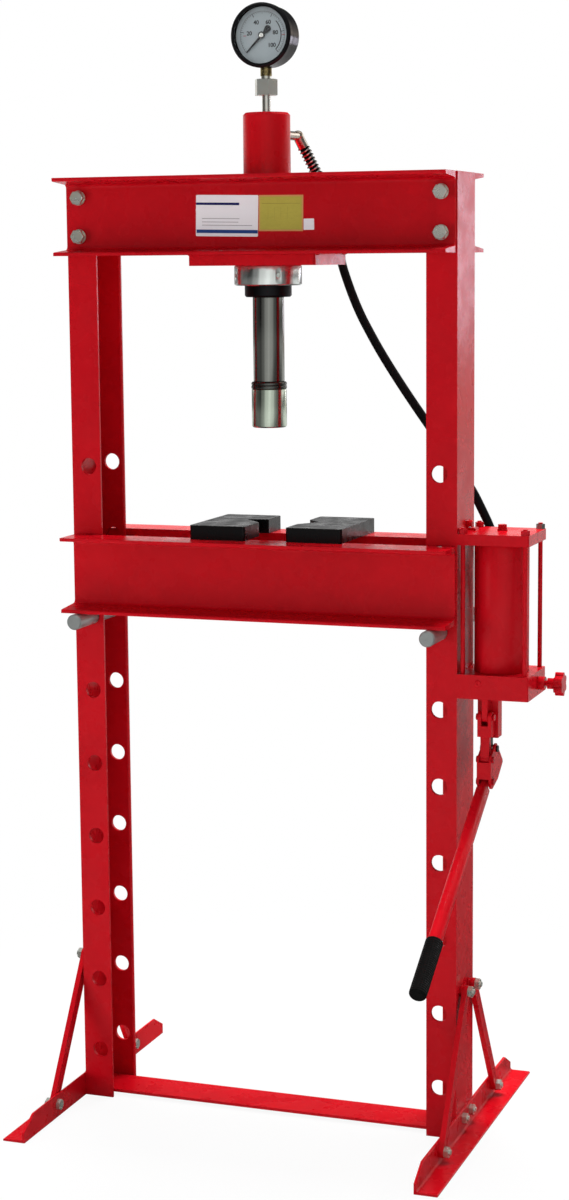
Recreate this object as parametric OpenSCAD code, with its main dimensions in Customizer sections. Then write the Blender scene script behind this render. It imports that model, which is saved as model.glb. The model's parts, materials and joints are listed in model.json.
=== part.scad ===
// H-frame hydraulic shop press with a hand pump on the right post.
// X is across the frame, +Y points away from the front, +Z is up.
// The origin is on the floor, midway between the posts, under the ram's axis.

/* [Frame] */
// Overall width over the post webs
frame_w = 680; // [520:10:900]
// Height of the posts, from the floor to the top of the head
frame_h = 1600; // [1320:10:2000]
// Depth of a post channel, front to back
post_d = 104; // [86:1:130]
// Width of a post channel's flanges
post_flange = 52; // [44:1:70]
// Thickness of a post's web
post_web = 6; // [4:0.5:8]
// Thickness of a post's flanges
post_flange_t = 7; // [5:0.5:9]
// Diameter of the bed pin holes
hole_d = 28; // [20:0.5:34]
// Distance from one pin hole to the next
hole_pitch = 129; // [105:1:160]
// Height of the lowest pin hole's centre
hole_first_z = 86; // [70:1:110]
// Number of pin holes in each flange
hole_count = 9; // [5:1:10]
// Distance from a post's outer face to the pin holes' centres
hole_inset = 30; // [26:1:36]
// Pin hole that carries the bed, counted up from 0
bed_hole = 6; // [1:1:7]

/* [Head and bed beams] */
// Height of a beam channel
beam_h = 128; // [100:1:160]
// Width of a beam channel's flanges
beam_flange = 62; // [48:1:80]
// Thickness of a beam's web
beam_web = 6; // [4:0.5:9]
// Thickness of a beam's flange at its tip
beam_tip = 6; // [4:0.5:9]
// Rise of the tapered inner faces of the beam flanges, per unit of width
beam_slope = 0.08; // [0.02:0.01:0.14]
// Gap between a beam's end and the posts' outer faces
beam_end_gap = 2; // [0:0.5:10]
// Thickness of the bed's spacer plates
spacer_t = 8; // [6:1:16]
// Gap between the bed beams and the posts
bed_side_gap = 0.5; // [0.4:0.1:2]
// Clearance left under the bed and under each pin
bed_seat_gap = 0.3; // [0.2:0.1:1]
// Diameter of a bed pin
pin_d = 26.4; // [18:0.2:32]
// Length of a bed pin
pin_len = 250; // [220:2:320]

/* [Head bolts] */
// Thread diameter of the head bolts
head_bolt_d = 14; // [12:1:20]
// Distance between the two bolts of a pair
head_bolt_pitch = 64; // [50:1:80]
// Distance from a post's outer face to the head bolts
head_bolt_inset = 25; // [22:1:30]

/* [Base] */
// Length of a foot, front to back
foot_len = 600; // [460:10:800]
// Leg width of the foot's angle section
foot_leg = 40; // [32:1:60]
// Leg thickness of the foot's angle section
foot_t = 4; // [3:0.5:6]
// Length of the sloped ends of the feet
foot_slope_len = 40; // [20:1:60]
// Height of the foot's upright leg at its ends
foot_end_h = 18; // [14:1:30]
// Width of a brace bar
brace_w = 20; // [16:1:30]
// Thickness of a brace bar
brace_t = 9; // [4:0.5:12]
// Height of the braces' upper bolts
brace_top_z = 249; // [180:1:320]
// Distance of the braces' upper bolts from the post's middle
brace_top_y = 23; // [16:1:30]
// Distance of the braces' lower bolts from the post's middle
brace_foot_y = 167; // [120:1:210]
// Height of the braces' lower bolts
brace_foot_z = 22; // [18:0.5:26]
// Thread diameter of the base bolts
base_bolt_d = 10; // [8:1:12]
// Distance between the two bolts that hold each foot
foot_bolt_pitch = 44; // [36:1:60]
// Height of the foot bolts
foot_bolt_z = 27; // [22:0.5:30]
// Width of the bottom rail
rail_w = 75; // [50:1:84]
// Thickness of the bottom rail
rail_t = 5; // [4:0.5:10]
// Height of the bottom rail's underside
rail_z = 5.4; // [0:0.2:20]

/* [Cylinder and ram] */
// Outer diameter of the cylinder barrel
barrel_d = 78; // [70:1:92]
// Bore of the cylinder barrel
bore_d = 60; // [56:1:66]
// Length of the cylinder barrel
barrel_len = 281; // [240:1:340]
// Length of the barrel below the head beams
barrel_drop = 51; // [46:1:70]
// Thickness of the barrel's closed top
barrel_cap = 12; // [8:1:20]
// Width of the cylinder plate, across the frame
cyl_plate_w = 220; // [180:2:260]
// Depth of the cylinder plate
cyl_plate_d = 160; // [130:2:220]
// Thickness of the cylinder plate
cyl_plate_t = 18; // [14:1:30]
// Outer diameter of the ring nut
ring_nut_d = 112; // [104:1:130]
// Diameter of the ring nut's spanner holes
spanner_hole_d = 8; // [5:0.5:10]
// Height of the gland under the barrel
gland_h = 19; // [14:1:30]
// Diameter of the ram's rod
rod_d = 52; // [40:0.5:53]
// Distance from the head beams' underside to the lower end of the polished rod
rod_reach = 210; // [190:1:260]
// Diameter of the collar on the rod
collar_d = 59.5; // [54:0.5:66]
// Height of the collar on the rod
collar_h = 12; // [8:1:20]
// Diameter of the ram's nose
nose_d = 58.5; // [54:0.5:66]
// Length of the ram's nose
nose_len = 64; // [40:1:90]
// Clearance between parts that slide or turn in each other
run_gap = 0.3; // [0.2:0.05:0.6]
// Height of the piston
piston_h = 30; // [20:1:40]

/* [Pressure gauge] */
// Diameter of the gauge's bezel
bezel_d = 104; // [80:1:126]
// Front to back depth of the bezel
bezel_h = 13; // [9:0.5:18]
// Depth of the gauge's case behind the bezel
case_depth = 40; // [20:1:48]
// Height of the gauge's centre above the barrel's top
gauge_rise = 123; // [110:1:150]
// Length of the plain tube between the barrel and the gauge's nut
gauge_tube_len = 28; // [20:1:40]
// Width across flats of the gauge's nut
gauge_nut_af = 34; // [24:1:40]
// Height of the gauge's nut
gauge_nut_h = 26; // [18:1:32]

/* [Arbor plates] */
// Thickness of the arbor plates
arbor_t = 24; // [15:1:35]
// Length of the arbor plates, front to back
arbor_len = 180; // [150:2:240]
// Width of the arbor plates
arbor_w = 98; // [80:1:120]
// Depth of the left plate's notch
notch_left = 36; // [20:1:50]
// Depth of the right plate's notch
notch_right = 26; // [15:1:45]

/* [Pump] */
// Width of the pump, measured out from the post
pump_w = 119; // [100:1:140]
// Depth of the pump's plates, front to back
pump_d = 118; // [104:1:140]
// Height of the underside of the pump's base block
pump_z = 752; // [740:1:900]
// Height of the pump's base block
pump_base_h = 40; // [30:1:60]
// Height of the oil reservoir's tube
reservoir_h = 212; // [160:2:260]
// Diameter of the oil reservoir's tube
reservoir_d = 90; // [76:1:100]
// Thickness of the pump's top plate
pump_top_t = 18; // [10:1:24]
// Diameter of the tie rods
tie_d = 7.5; // [5:0.5:9]
// Thread diameter of the pump's mounting bolts
pump_bolt_d = 8; // [6:1:10]
// Distance between the two mounting bolts at each height
pump_bolt_pitch = 60; // [40:2:64]
// Width of the pump body under the base block
body_w = 35; // [28:1:44]
// Height of the pump body under the base block
body_h = 71; // [60:1:90]
// Diameter of the pump plunger
plunger_d = 12; // [10:0.5:16]

/* [Pump handle] */
// Width of the lever over its cheeks
lever_w = 24; // [20:0.5:30]
// Wall thickness of the lever and of the fulcrum link's arms
lever_t = 4; // [3:0.5:5]
// Diameter of the pins in the lever
lever_pin_d = 7; // [5:0.5:8]
// Distance from the handle's bolt to the end of the grip
handle_len = 465; // [360:5:640]
// Angle of the handle below the horizontal at rest
handle_fall = 32; // [20:1:45]
// Outer diameter of the handle tube
handle_d = 23; // [16:0.5:23]
// Thickness of the fixed lug that carries the fulcrum link
lug_t = 10; // [6:0.5:11]
// Length of the grip
grip_len = 111; // [80:1:150]
// Outer diameter of the grip
grip_d = 28; // [26.5:0.5:32]

/* [Release valve] */
// Diameter of the valve's gland
valve_gland_d = 22; // [16:0.5:28]
// Diameter of the valve's knob
knob_d = 39; // [26:0.5:40]
// Number of lobes on the knob
knob_lobes = 6; // [5:1:8]

/* [Hose] */
// Depth of the hose port below the barrel's top
port_drop = 34; // [26:1:80]
// Outer diameter of the pressure hose
hose_d = 15; // [10:0.5:16]
// Outer diameter of the spring guard on the hose
guard_d = 20; // [18:0.5:22]

/* [Hidden] */
$fn = 64;
e = 1;

// Frame
post_x = frame_w / 2;
post_in = post_x - post_web;
post_y = post_d / 2;
flange_in = post_y - post_flange_t;
hole_x = post_x - hole_inset;
head_z = frame_h - beam_h;
beam_len = frame_w - 2 * beam_end_gap;
beam_y = post_y + beam_web;
beam_root = beam_tip + beam_slope * (beam_flange - beam_web);

// Ram heights
plate_z = head_z - cyl_plate_t;
barrel_z = head_z - barrel_drop;
barrel_top = barrel_z + barrel_len;
gland_z = barrel_z - gland_h;
rod_z = head_z - rod_reach;
collar_z = rod_z - collar_h;
nose_z = collar_z - nose_len;
ram_up = gland_z - rod_z - 2;
ram_down = 12;
piston_z = barrel_top - barrel_cap - ram_up - piston_h - 22;
spigot_d = rod_d * 0.6;

// The bed stands on the chosen hole, or on the highest one that clears the ram
bed_room = (nose_z - ram_down - 10 - arbor_t - beam_h - hole_first_z) / hole_pitch;
bed_step = min(bed_hole, hole_count - 1, floor(bed_room));
pin_gap = (hole_d - pin_d) / 2;
pin_z = hole_first_z + hole_pitch * bed_step - pin_gap + bed_seat_gap;
bed_z = pin_z + pin_d / 2 + bed_seat_gap;
bed_top = bed_z + beam_h;
bed_y = post_y + bed_side_gap;
spacer_x = post_x - post_flange - 18 - spacer_t;

// Fasteners
function af_bolt(d) = d * 1.5 + (d == 10 ? 2 : 0);
function head_h(d) = d * 0.64;
function nut_h(d) = d * 0.8;
washer_t = 3;
bolt_play = 1.2;
head_bolt_x = post_x - head_bolt_inset;
head_mid_z = head_z + beam_h / 2;
washer_d = head_bolt_d * 1.75;
foot_in = post_x + foot_t;

// Gauge
gauge_z = barrel_top + gauge_rise;
case_y = -14;
bezel_y = case_y - bezel_h;
bezel_r = bezel_d / 2;
glass_r = bezel_r - 5.3;
dial_y = case_y - 1.5;

// Pump
pump_y0 = -post_y;
pump_base_top = pump_z + pump_base_h;
pump_top_z = pump_base_top + reservoir_h;
res_x = post_x + pump_w / 2;
res_y = pump_y0 + pump_d / 2;
tie_nut_af = 13;
tie_nut_h = 8;
tie_dx = pump_w / 2 - tie_nut_af * 0.6;
tie_dy = pump_d / 2 - tie_nut_af * 0.6;
lev_x = post_x + 41;
body_y0 = -9;
body_d = 24;
body_z = pump_z - body_h;

// Lever pivots, as [y, z]
lug_pin = [-23, pump_z - 34];
link_pin = [-23, pump_z - 105];
rod_pin = [2, pump_z - 91];
handle_pin = [-23, pump_z - 142];
link_slot = 4.2;
arm_gap = 0.5;
inside_w = lever_w - 2 * lever_t;
stem_w = inside_w - 2 * arm_gap;

// Valve
valve_y = 18;
valve_z = pump_z + 20;
valve_x = post_x + pump_w;

// Hose route, from the elbow on the barrel to the fitting behind the pump
port_z = barrel_top - port_drop;
hose_r = hose_d / 2;
route = [
    [26, 108, 1650], [36, 119, 1624], [46, 130, 1598], [56, 141, 1572], [63, 145, 1543],
    [69, 144, 1514], [76, 141, 1484], [84, 138, 1453], [95, 135, 1423], [107, 133, 1394],
    [120, 131, 1367], [135, 130, 1340], [151, 129, 1313], [168, 129, 1286], [187, 128, 1258],
    [206, 127, 1231], [226, 127, 1203], [246, 126, 1176], [266, 126, 1148], [285, 127, 1121],
    [302, 128, 1096], [318, 129, 1071], [332, 130, 1044], [345, 129, 1018], [356, 125, 991],
    [365, 119, 963], [371, 111, 935], [376, 102, 906], [379, 94, 876], [380, 89, 843],
    [380, 89, 808]
];
hose_dir = (route[1] - route[0]) / norm(route[1] - route[0]);
elbow = route[0] - hose_dir * 21;
port_a = atan2(elbow[1], elbow[0]);
guard_end = 3;

// ---- shared shapes ----

// Points on an arc about (cx, cy), from angle a0 to a1
function arc(cx, cy, r, a0, a1, n = 6) = [
    for (i = [0:n]) let (a = a0 + (a1 - a0) * i / n) [cx + r * cos(a), cy + r * sin(a)]
];

// Lower half of a channel's outline: web's back on x = 0, flange tips at x = b
function channel_half(h, b, tw, tip, slope, rr, rt) =
    let (
        n = sqrt(1 + slope * slope),
        an = atan2(1, slope),
        xt = b - rt,
        yt = -h / 2 + tip + slope * (b - xt) - rt * n,
        xc = tw + rr,
        yc = -h / 2 + tip + slope * (b - xc) + rr * n
    )
    concat(
        [[0, -h / 2], [b, -h / 2]],
        arc(xt, yt, rt, 0, an),
        arc(xc, yc, rr, an + 180, 180)
    );

// Full channel outline, its upper half mirrored from the lower
function channel_outline(h, b, tw, tip, slope, rr, rt) =
    let (low = channel_half(h, b, tw, tip, slope, rr, rt), n = len(low))
    concat(low, [for (i = [1:n]) [low[n - i][0], -low[n - i][1]]]);

// A channel that lies along X, with its open side facing +Y and its middle at z = 0
module beam(len) {
    translate([-len / 2, 0, 0])
        rotate([90, 0, 90])
            linear_extrude(len)
                polygon(channel_outline(beam_h, beam_flange, beam_web, beam_tip, beam_slope, 7, 3));
}

// A rod along X from x0 to x1
module rod_x(d, x0, x1) {
    translate([x0, 0, 0])
        rotate([0, 90, 0])
            cylinder(d = d, h = x1 - x0);
}

// A rod along Y from y0 to y1
module rod_y(d, y0, y1) {
    translate([0, y0, 0])
        rotate([-90, 0, 0])
            cylinder(d = d, h = y1 - y0);
}

// A ring standing on z = 0
module ring(d_out, d_in, h) {
    difference() {
        cylinder(d = d_out, h = h);
        translate([0, 0, -e])
            cylinder(d = d_in, h = h + 2 * e);
    }
}

// A hexagon nut or bolt head along +Z, with its corners turned off at the far end
module hexagon(af, h) {
    intersection() {
        cylinder(d = af / cos(30), h = h, $fn = 6);
        rotate_extrude()
            polygon([[0, 0], [af, 0], [af, h - (af * 0.5) * 0.36],
                     [af * 0.49, h], [0, h]]);
    }
}

// A bolt along +Z: its head ends at z = 0 and its shank runs up to z = len
module bolt(d, len) {
    mirror([0, 0, 1])
        hexagon(af_bolt(d), head_h(d));
    translate([0, 0, -0.01])
        cylinder(d = d, h = len - 0.99);
    translate([0, 0, len - 1])
        cylinder(d1 = d, d2 = d - 2, h = 1);
}

// A nut along +Z with its thread's hole, h high and af across its flats
module plain_nut(d, af, h) {
    difference() {
        hexagon(af, h);
        translate([0, 0, -e])
            cylinder(d = d + 2 * run_gap, h = h + 2 * e);
    }
}

module nut(d) {
    plain_nut(d, af_bolt(d), nut_h(d));
}

// ---- frame ----

// A post with its web on the -X side
module post_shape() {
    difference() {
        translate([-post_x, 0, 0])
            linear_extrude(frame_h)
                polygon(channel_outline(post_d, post_flange, post_web, post_flange_t, 0, 5, 3));
        for (i = [0:hole_count - 1])
            translate([-hole_x, 0, hole_first_z + i * hole_pitch])
                rod_y(hole_d, -post_y - e, post_y + e);
        for (s = [-1, 1])
            translate([-head_bolt_x, 0, head_mid_z + s * head_bolt_pitch / 2])
                rod_y(head_bolt_d + bolt_play, -post_y - e, post_y + e);
        for (s = [-1, 1])
            translate([0, s * foot_bolt_pitch / 2, foot_bolt_z])
                rod_x(base_bolt_d + bolt_play, -post_x - e, -post_in + e);
        for (s = [-1, 1])
            translate([0, s * brace_top_y, brace_top_z])
                rod_x(base_bolt_d + bolt_play, -post_x - e, -post_in + e);
    }
}

module left_post() {
    color("crimson") post_shape();
}

module right_post() {
    color("crimson")
        difference() {
            mirror([1, 0, 0]) post_shape();
            at_pump_bolts(post_in - e)
                cylinder(d = pump_bolt_d + bolt_play, h = post_web + 2 * e);
        }
}

module head_beam_shape() {
    difference() {
        translate([0, post_y, head_mid_z])
            beam(beam_len);
        for (sx = [-1, 1], sz = [-1, 1])
            translate([sx * head_bolt_x, 0, head_mid_z + sz * head_bolt_pitch / 2])
                rod_y(head_bolt_d + bolt_play, post_y - e, beam_y + e);
    }
}

module head_beam_front() {
    color("crimson") mirror([0, 1, 0]) head_beam_shape();
}

module head_beam_rear() {
    color("crimson") head_beam_shape();
}

// Puts a copy at each head bolt, with +Z pointing from the outside in
module at_head_bolts(y) {
    for (sx = [-1, 1], sy = [-1, 1], sz = [-1, 1])
        translate([sx * head_bolt_x, sy * y, head_mid_z + sz * head_bolt_pitch / 2])
            rotate([sy * 90, 0, 0])
                children();
}

module head_bolts() {
    color("silver")
        at_head_bolts(beam_y + washer_t)
            bolt(head_bolt_d, beam_web + post_flange_t + 2 * washer_t + nut_h(head_bolt_d) + 4);
}

module head_washers() {
    color("silver") {
        at_head_bolts(beam_y + washer_t)
            ring(washer_d, head_bolt_d + bolt_play, washer_t);
        at_head_bolts(flange_in)
            ring(washer_d, head_bolt_d + bolt_play, washer_t);
    }
}

module head_nuts() {
    color("silver")
        at_head_bolts(flange_in - washer_t)
            nut(head_bolt_d);
}

// ---- base ----

module bottom_rail() {
    color("crimson")
        translate([-post_in, -rail_w / 2, rail_z])
            cube([2 * post_in, rail_w, rail_t]);
}

// An angle along Y on the right side, its upright leg against the post's web
module foot_shape() {
    half = foot_len / 2;
    difference() {
        translate([post_x, half, 0])
            rotate([90, 0, 0])
                linear_extrude(foot_len)
                    polygon(concat(
                        [[0, 0], [foot_leg - 1, 0], [foot_leg, 1]],
                        arc(foot_leg - 2, foot_t - 2, 2, 0, 90, 4),
                        arc(foot_t + 4, foot_t + 4, 4, 270, 180, 4),
                        arc(foot_t - 2, foot_leg - 2, 2, 0, 90, 4),
                        [[0, foot_leg]]
                    ));
        for (s = [-1, 1])
            translate([post_x - e, 0, 0])
                rotate([90, 0, 90])
                    linear_extrude(foot_t + 2 * e)
                        polygon([
                            [s * (half + e), foot_end_h],
                            [s * half, foot_end_h],
                            [s * (half - foot_slope_len), foot_leg],
                            [s * (half - foot_slope_len), foot_leg + e],
                            [s * (half + e), foot_leg + e]
                        ]);
        for (s = [-1, 1])
            translate([0, s * foot_bolt_pitch / 2, foot_bolt_z])
                rod_x(base_bolt_d + bolt_play, post_x - e, foot_in + e);
        for (s = [-1, 1])
            translate([0, s * brace_foot_y, brace_foot_z])
                rod_x(base_bolt_d + bolt_play, post_x - e, foot_in + e);
    }
}

module foot_left() {
    color("crimson") mirror([1, 0, 0]) foot_shape();
}

module foot_right() {
    color("crimson") foot_shape();
}

// The right rear brace, from the upper bolt down to the foot
module brace_shape() {
    dy = brace_foot_y - brace_top_y;
    dz = brace_top_z - brace_foot_z;
    run = sqrt(dy * dy + dz * dz);
    fall = atan2(dz, dy);
    difference() {
        translate([foot_in, brace_top_y, brace_top_z])
            rotate([-fall, 0, 0])
                union() {
                    translate([0, 0, -brace_w / 2])
                        cube([brace_t, run, brace_w]);
                    rod_x(brace_w, 0, brace_t);
                    translate([0, run, 0])
                        rod_x(brace_w, 0, brace_t);
                }
        translate([0, brace_top_y, brace_top_z])
            rod_x(base_bolt_d + bolt_play, foot_in - e, foot_in + brace_t + e);
        translate([0, brace_foot_y, brace_foot_z])
            rod_x(base_bolt_d + bolt_play, foot_in - e, foot_in + brace_t + e);
    }
}

module braces_left() {
    color("crimson")
        mirror([1, 0, 0]) {
            brace_shape();
            mirror([0, 1, 0]) brace_shape();
        }
}

module braces_right() {
    color("crimson") {
        brace_shape();
        mirror([0, 1, 0]) brace_shape();
    }
}

// Puts a copy at a bolt position of every brace or foot, +Z pointing outward
module at_base(x, y, z) {
    for (sx = [-1, 1], sy = [-1, 1])
        translate([sx * x, sy * y, z])
            rotate([0, sx * 90, 0])
                children();
}

module brace_spacers() {
    color("crimson")
        at_base(post_x, brace_top_y, brace_top_z)
            ring(brace_w - 1, base_bolt_d + bolt_play, foot_t);
}

module base_bolts() {
    end = nut_h(base_bolt_d) + 3;
    color("silver") {
        at_base(post_in, brace_top_y, brace_top_z)
            bolt(base_bolt_d, post_web + foot_t + brace_t + end);
        at_base(post_in, foot_bolt_pitch / 2, foot_bolt_z)
            bolt(base_bolt_d, post_web + foot_t + end);
        at_base(post_x, brace_foot_y, brace_foot_z)
            bolt(base_bolt_d, foot_t + brace_t + end);
    }
}

module base_nuts() {
    color("silver") {
        at_base(foot_in + brace_t, brace_top_y, brace_top_z)
            nut(base_bolt_d);
        at_base(foot_in, foot_bolt_pitch / 2, foot_bolt_z)
            nut(base_bolt_d);
        at_base(foot_in + brace_t, brace_foot_y, brace_foot_z)
            nut(base_bolt_d);
    }
}

// ---- cylinder and ram ----

module cylinder_plate() {
    c = 3;
    x = cyl_plate_w / 2;
    y = cyl_plate_d / 2;
    color("crimson")
        difference() {
            translate([0, 0, plate_z])
                linear_extrude(cyl_plate_t)
                    polygon([[-x + c, -y], [x - c, -y], [x, -y + c], [x, y - c],
                             [x - c, y], [-x + c, y], [-x, y - c], [-x, -y + c]]);
            translate([0, 0, plate_z - e])
                cylinder(d = barrel_d + 2 * run_gap, h = cyl_plate_t + 2 * e);
        }
}

module cylinder_barrel() {
    r = barrel_d / 2;
    color("crimson")
        difference() {
            union() {
                translate([0, 0, barrel_z])
                    rotate_extrude()
                        polygon([[0, 0], [r, 0], [r, barrel_len - 4], [r - 4, barrel_len], [0, barrel_len]]);
                rotate([0, 0, port_a])
                    translate([0, 0, port_z])
                        rod_x(24, r - 6, r + 3);
            }
            translate([0, 0, barrel_z - e])
                cylinder(d = bore_d, h = barrel_len - barrel_cap + e);
        }
}

module ring_nut() {
    color("silver")
        difference() {
            translate([0, 0, barrel_z])
                rotate_extrude()
                    polygon([
                        [barrel_d / 2 + run_gap, 0], [ring_nut_d / 2 - 2, 0], [ring_nut_d / 2, 2],
                        [ring_nut_d / 2, plate_z - barrel_z - 1.5],
                        [ring_nut_d / 2 - 1.5, plate_z - barrel_z],
                        [barrel_d / 2 + run_gap, plate_z - barrel_z]
                    ]);
            for (a = [0:90:270])
                rotate([0, 0, a - 52])
                    translate([0, 0, (barrel_z + plate_z) / 2])
                        rod_x(spanner_hole_d, ring_nut_d / 2 - 9, ring_nut_d / 2 + e);
        }
}

// The gland screws into the barrel's mouth and guides the rod
module gland() {
    color("dimgray")
        translate([0, 0, gland_z])
            rotate_extrude()
                polygon([
                    [rod_d / 2 + run_gap, 0], [barrel_d / 2 - 2.5, 0], [barrel_d / 2, 2.5],
                    [barrel_d / 2, gland_h], [bore_d / 2 - run_gap, gland_h],
                    [bore_d / 2 - run_gap, gland_h + 14], [rod_d / 2 + run_gap, gland_h + 14]
                ]);
}

module ram_rod() {
    r = rod_d / 2;
    s = spigot_d / 2;
    color("silver")
        rotate_extrude()
            polygon([
                [0, collar_z - 24], [s - 1, collar_z - 24], [s, collar_z - 23], [s, rod_z],
                [r - 1, rod_z], [r, rod_z + 1], [r, piston_z],
                [r * 0.5, piston_z], [r * 0.5, piston_z + piston_h + 8],
                [0, piston_z + piston_h + 8]
            ]);
}

module piston() {
    ro = bore_d / 2 - run_gap;
    groove_z = piston_z + piston_h / 2 - 4;
    color("slategray")
        rotate_extrude()
            polygon([
                [rod_d / 4 + run_gap, piston_z], [ro, piston_z], [ro, groove_z],
                [ro - 5, groove_z], [ro - 5, groove_z + 8], [ro, groove_z + 8],
                [ro, piston_z + piston_h - 2], [ro - 2, piston_z + piston_h],
                [rod_d / 4 + run_gap, piston_z + piston_h]
            ]);
}

module piston_seal() {
    ro = bore_d / 2 - run_gap;
    color("black")
        translate([0, 0, piston_z + piston_h / 2 - 4])
            ring(2 * ro, 2 * (ro - 4.7), 7.7);
}

module ram_collar() {
    r = collar_d / 2;
    color("dimgray")
        translate([0, 0, collar_z])
            rotate_extrude()
                polygon([
                    [spigot_d / 2 + run_gap, 0], [r - 1, 0], [r, 1], [r, collar_h * 0.5 - 1],
                    [r - 1.2, collar_h * 0.5], [r, collar_h * 0.5 + 1],
                    [r, collar_h - 2], [r - 2, collar_h], [spigot_d / 2 + run_gap, collar_h]
                ]);
}

module ram_nose() {
    r = nose_d / 2;
    color("silver")
        difference() {
            translate([0, 0, nose_z])
                rotate_extrude()
                    polygon([[0, 0], [r - 2, 0], [r, 2], [r, nose_len - 1],
                             [r - 1, nose_len], [0, nose_len]]);
            translate([0, 0, collar_z - 25])
                cylinder(d = spigot_d + 2 * run_gap, h = 25 + e);
        }
}

// ---- pressure gauge ----

module at_gauge(y) {
    translate([0, y, gauge_z])
        rotate([-90, 0, 0])
            children();
}

stem_z = gauge_z - bezel_r + 2;

module gauge_case() {
    r = bezel_r - 2;
    color("black")
        difference() {
            union() {
                at_gauge(case_y)
                    rotate_extrude()
                        polygon(concat(
                            [[0, 0], [r, 0]],
                            arc(r - 5, case_depth - 5, 5, 0, 90, 5),
                            [[0, case_depth]]
                        ));
                translate([0, 0, stem_z - 14])
                    cylinder(d = 19, h = 24);
            }
            at_gauge(case_y - e)
                cylinder(d = 4, h = 14 + e);
        }
}

module gauge_bezel() {
    color("black")
        at_gauge(bezel_y)
            rotate_extrude()
                polygon([
                    [bezel_r - 6.5, 0], [bezel_r - 3, 0], [bezel_r, 3], [bezel_r, bezel_h],
                    [bezel_r - 5, bezel_h], [bezel_r - 5, 3], [bezel_r - 6.5, 1.5]
                ]);
}

module gauge_glass() {
    color("lightblue")
        at_gauge(bezel_y + 3)
            cylinder(r = glass_r, h = 2);
}

module gauge_dial() {
    color("aliceblue")
        difference() {
            at_gauge(dial_y)
                cylinder(r = bezel_r - 6.3, h = 1.5);
            at_gauge(dial_y - e)
                cylinder(d = 4, h = 3 + e);
        }
}

// Needle at rest, pointing down to the left, on a short spindle
module gauge_needle() {
    color("black")
        at_gauge(0)
            union() {
                translate([0, 0, dial_y - 3.4])
                    rotate([0, 0, 135])
                        linear_extrude(1)
                            polygon([[-15, 4.5], [-15, -4.5], [-4, -1.6], [0, -2], [36, -0.5],
                                     [36, 0.5], [0, 2], [-4, 1.6]]);
                translate([0, 0, dial_y - 5])
                    cylinder(d = 8, h = 3.5);
                translate([0, 0, dial_y - 5])
                    cylinder(d = 3.2, h = 14);
            }
}

module gauge_tube() {
    color("crimson")
        translate([0, 0, barrel_top])
            cylinder(d = 14, h = gauge_tube_len);
}

module gauge_nut() {
    top = stem_z - 14;
    z0 = barrel_top + gauge_tube_len;
    color("darkkhaki") {
        translate([0, 0, z0])
            hexagon(gauge_nut_af, gauge_nut_h);
        translate([0, 0, z0 + gauge_nut_h - 2])
            cylinder(d = 17, h = top - z0 - gauge_nut_h + 2);
    }
}

// ---- hose ----

// A cylinder from point a to point b
module stick(a, b, d) {
    v = b - a;
    translate(a)
        rotate([0, acos(v[2] / norm(v)), atan2(v[1], v[0])])
            cylinder(d = d, h = norm(v));
}

module hose_elbow() {
    x0 = barrel_d / 2 + 3;
    x1 = x0 + 6;
    color("darkkhaki") {
        rotate([0, 0, port_a])
            translate([x0, 0, port_z])
                rotate([0, 90, 0])
                    cylinder(d = 20, h = 7, $fn = 6);
        stick([x1 * cos(port_a), x1 * sin(port_a), port_z], elbow, 15);
        translate(elbow)
            sphere(d = 19);
        stick(elbow, route[0], hose_d + 3);
    }
}

function unit(v) = v / norm(v);

// Direction of the route at point i
function heading(p, i) =
    unit(p[min(i + 1, len(p) - 1)] - p[max(i - 1, 0)]);

// Closed tube along the points p, r in radius, with k sides
module tube_along(p, r, k) {
    n = len(p);
    pts = [
        for (i = [0:n - 1])
            let (t = heading(p, i), u = unit(cross(t, [0, 1, 0])), v = cross(t, u))
            for (j = [0:k - 1])
                p[i] + r * (u * cos(360 * j / k) + v * sin(360 * j / k))
    ];
    sides = [
        for (i = [0:n - 2], j = [0:k - 1])
            let (m = (j + 1) % k)
            each [[i * k + j, (i + 1) * k + j, i * k + m], [i * k + m, (i + 1) * k + j, (i + 1) * k + m]]
    ];
    ends = [
        [for (j = [0:k - 1]) j],
        [for (j = [0:k - 1]) n * k - 1 - j]
    ];
    polyhedron(pts, concat(sides, ends));
}

module hose() {
    color("black") tube_along(route, hose_r, 12);
}

// Sleeve of wound wire over the hose's first stretch
module hose_guard() {
    a = route[0] + hose_dir * 0.3;
    b = route[guard_end];
    v = unit(b - a);
    color("silver")
        difference() {
            stick(a, b, guard_d);
            stick(a - v * 5, b + v * 5, hose_d + 2);
        }
}

// Banjo fitting on the base block's back face, with the ferrule standing up to the hose
module hose_tail() {
    last = route[len(route) - 1];
    y0 = pump_y0 + pump_d;
    z = pump_z + 22;
    color("darkkhaki") {
        translate([last[0], y0, z])
            rotate([-90, 0, 0])
                cylinder(d = 20, h = 8, $fn = 6);
        translate([last[0], 0, z])
            rod_y(13, y0 + 7, last[1]);
        translate([last[0], last[1], z])
            sphere(d = 18);
        translate([last[0], last[1], z])
            cylinder(d = hose_d + 3, h = last[2] - z);
    }
}

// ---- bed ----

module bed_beam_shape() {
    translate([0, bed_y, bed_z + beam_h / 2])
        beam(beam_len);
}

module bed_beam_front() {
    color("crimson") mirror([0, 1, 0]) bed_beam_shape();
}

module bed_beam_rear() {
    color("crimson") bed_beam_shape();
}

module bed_spacers() {
    color("crimson")
        for (s = [-1, 1])
            translate([s * (spacer_x + spacer_t / 2) - spacer_t / 2, -bed_y, bed_z + 12])
                cube([spacer_t, 2 * bed_y, beam_h - 24]);
}

module pin_shape() {
    r = pin_d / 2;
    translate([0, 0, pin_z])
        rotate([-90, 0, 0])
            translate([0, 0, -pin_len / 2])
                rotate_extrude()
                    polygon([[0, 0], [r - 2, 0], [r, 2], [r, pin_len - 2], [r - 2, pin_len], [0, pin_len]]);
}

module pin_left() {
    color("silver") translate([-hole_x, 0, 0]) pin_shape();
}

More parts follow.
